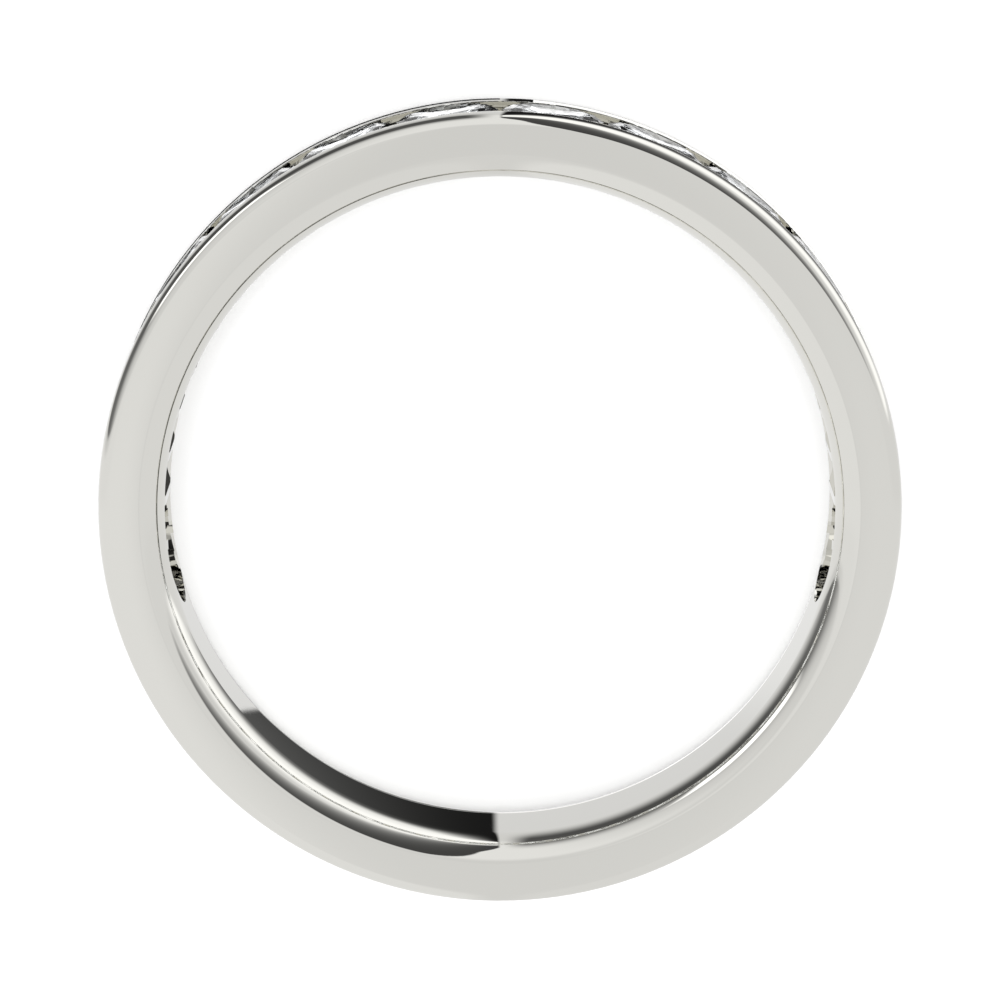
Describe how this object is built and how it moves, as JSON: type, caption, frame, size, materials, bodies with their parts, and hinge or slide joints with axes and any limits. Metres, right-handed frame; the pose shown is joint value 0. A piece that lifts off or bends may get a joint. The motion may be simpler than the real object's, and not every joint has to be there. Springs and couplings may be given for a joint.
{
  "type": "wedding ring",
  "caption": "Polished white metal wedding band with a row of round brilliant stones set in a channel over half of it.",
  "frame": {"origin": "on the ring's axis, in the plane of the side face that it rests on", "axes": "+Z along the ring's axis, up as the ring lies on its side; +Y from the axis towards the middle of the row of stones"},
  "size_m": [0.0208, 0.0208, 0.0037],
  "materials": {
    "white_gold": "high polish",
    "stone": "faceted and polished"
  },
  "bodies": {
    "root": {"band": "white_gold", "stone_01": "stone", "stone_02": "stone", "stone_03": "stone", "stone_04": "stone", "stone_05": "stone", "stone_06": "stone", "stone_07": "stone", "stone_08": "stone", "stone_09": "stone", "stone_10": "stone", "stone_11": "stone", "stone_12": "stone", "stone_13": "stone", "stone_14": "stone"}
  },
  "joints": []
}
